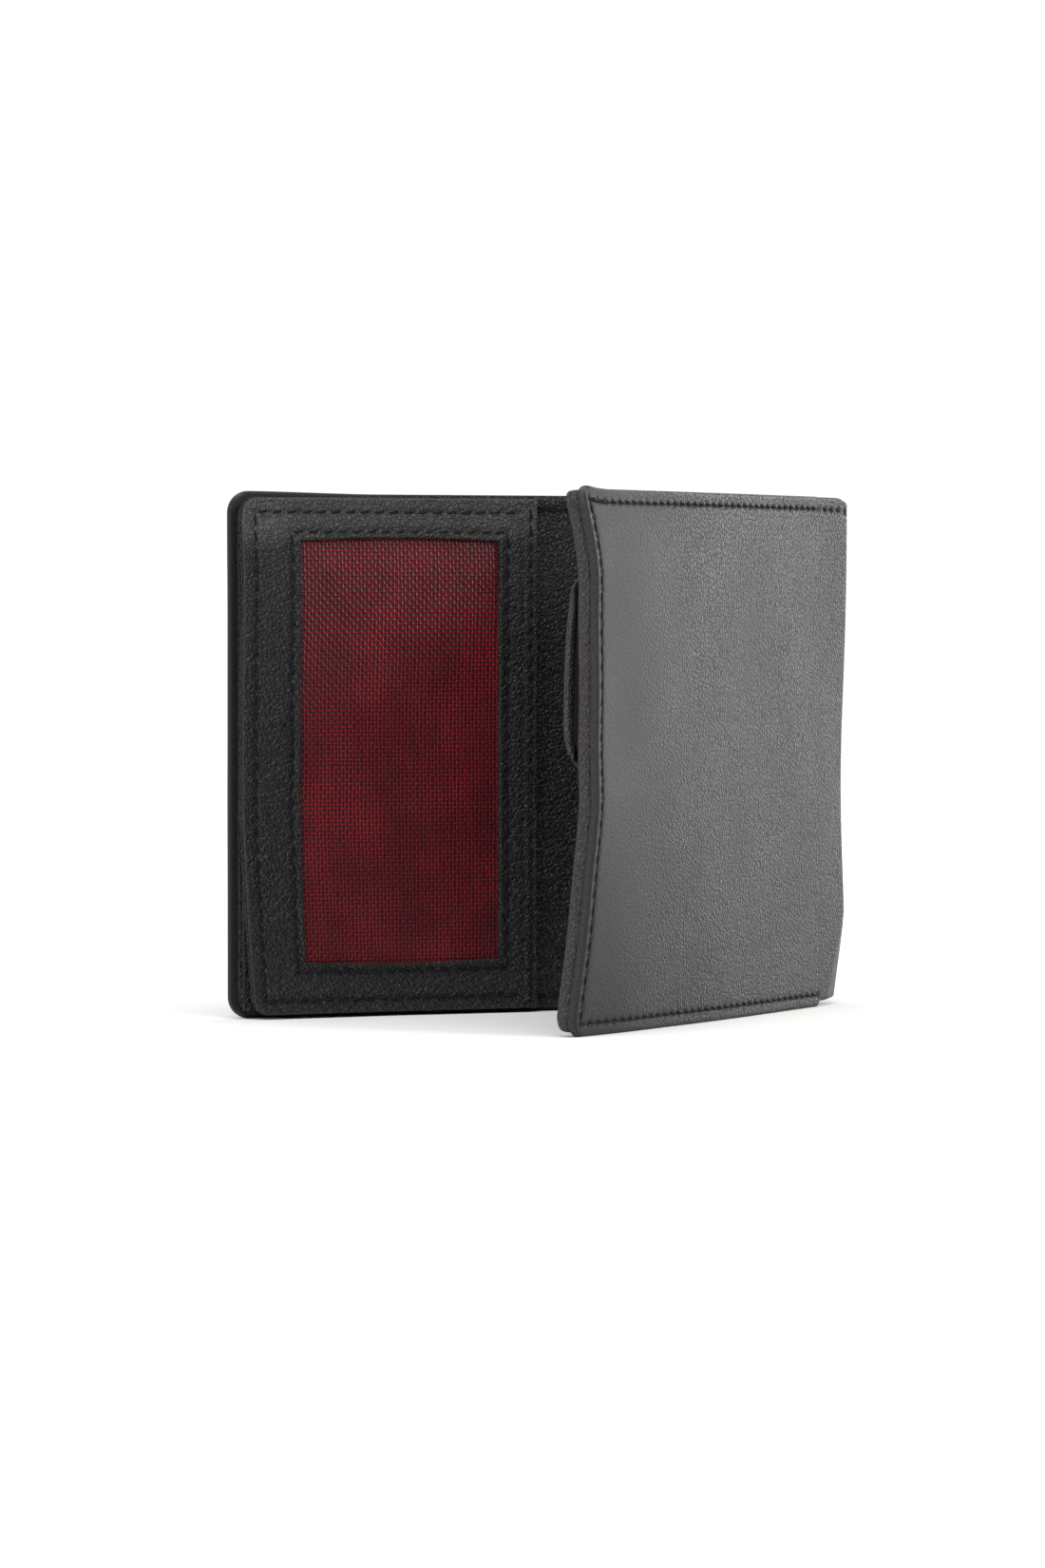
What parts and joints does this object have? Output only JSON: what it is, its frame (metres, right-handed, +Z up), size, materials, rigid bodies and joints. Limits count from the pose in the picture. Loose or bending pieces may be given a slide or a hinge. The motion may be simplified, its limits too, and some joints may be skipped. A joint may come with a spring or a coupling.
{
  "type": "wallet",
  "caption": "Black leather wallet in landscape format, standing half open, with a window leaf of burgundy net and a coin pocket with a snap flap.",
  "frame": {"origin": "middle of the bounding box, on the surface that the wallet stands on", "axes": "+X along the back cover from its free edge to the spine, +Y out through the back cover, +Z up"},
  "size_m": [0.1258, 0.0858, 0.096],
  "materials": {
    "cover_leather": "fine grained nappa, satin, slightly rubbed",
    "panel_leather": "fine grained nappa, matte satin",
    "burgundy_cloth": "plain woven lining",
    "burgundy_net": "open plain-woven net",
    "black_thread": "waxed polyester thread",
    "snap_metal": "black nickel plated"
  },
  "bodies": {
    "back_half": {"back_cover_leather": "cover_leather", "back_cover_lining": "burgundy_cloth", "back_turned_edge": "panel_leather", "back_inner_panel": "panel_leather", "card_slot_upper": "panel_leather", "card_slot_lower": "panel_leather", "leaf_hinge_strip": "panel_leather", "leaf_hinge_seam": "black_thread", "back_cover_seam": "black_thread", "back_panel_seam": "black_thread"},
    "spine_back_half": {"spine_leather_back": "cover_leather", "spine_lining_back": "burgundy_cloth"},
    "spine_front_half": {"spine_leather_front": "cover_leather", "spine_lining_front": "burgundy_cloth"},
    "front_half": {"front_cover_leather": "cover_leather", "front_cover_lining": "burgundy_cloth", "front_turned_edge": "panel_leather", "front_inner_panel": "panel_leather", "coin_pocket_lining": "burgundy_cloth", "coin_pocket_gusset": "burgundy_cloth", "coin_pocket_front": "panel_leather", "coin_flap_mount": "panel_leather", "snap_stud": "snap_metal", "snap_washer": "snap_metal", "front_cover_seam": "black_thread", "front_panel_seam": "black_thread", "coin_pocket_seam": "black_thread", "coin_flap_seam": "black_thread"},
    "window_leaf": {"leaf_back_leather": "panel_leather", "leaf_edge_filler": "panel_leather", "leaf_window_backing": "burgundy_cloth", "leaf_window_net": "burgundy_net", "leaf_frame": "panel_leather", "leaf_edge_seam": "black_thread", "leaf_window_seam": "black_thread"},
    "coin_flap": {"coin_flap_leather": "panel_leather", "coin_flap_lining": "burgundy_cloth", "snap_cap": "snap_metal", "snap_socket": "snap_metal"}
  },
  "joints": [
    {"name": "back_hem_fold", "type": "hinge", "parent": "back_half", "child": "spine_back_half", "pos_m": [0.04913, 0.04155, 0.048], "axis": [0, 0, 1], "range_deg": [-19.5, 0]},
    {"name": "spine_fold", "type": "hinge", "parent": "spine_back_half", "child": "spine_front_half", "pos_m": [0.06213, 0.04155, 0.048], "axis": [0, 0, 1], "range_deg": [0, 136]},
    {"name": "front_hem_fold", "type": "hinge", "parent": "spine_front_half", "child": "front_half", "pos_m": [0.05247, 0.03286, 0.048], "axis": [0, 0, 1], "range_deg": [-19.5, 0]},
    {"name": "leaf_fold", "type": "hinge", "parent": "back_half", "child": "window_leaf", "pos_m": [-0.00597, 0.03745, 0.048], "axis": [0, 0, 1], "range_deg": [0, 75]},
    {"name": "coin_flap_fold", "type": "hinge", "parent": "front_half", "child": "coin_flap", "pos_m": [-0.00596, -0.01545, 0.08], "axis": [0.7431, 0.6691, 0], "range_deg": [0, 130]}
  ]
}
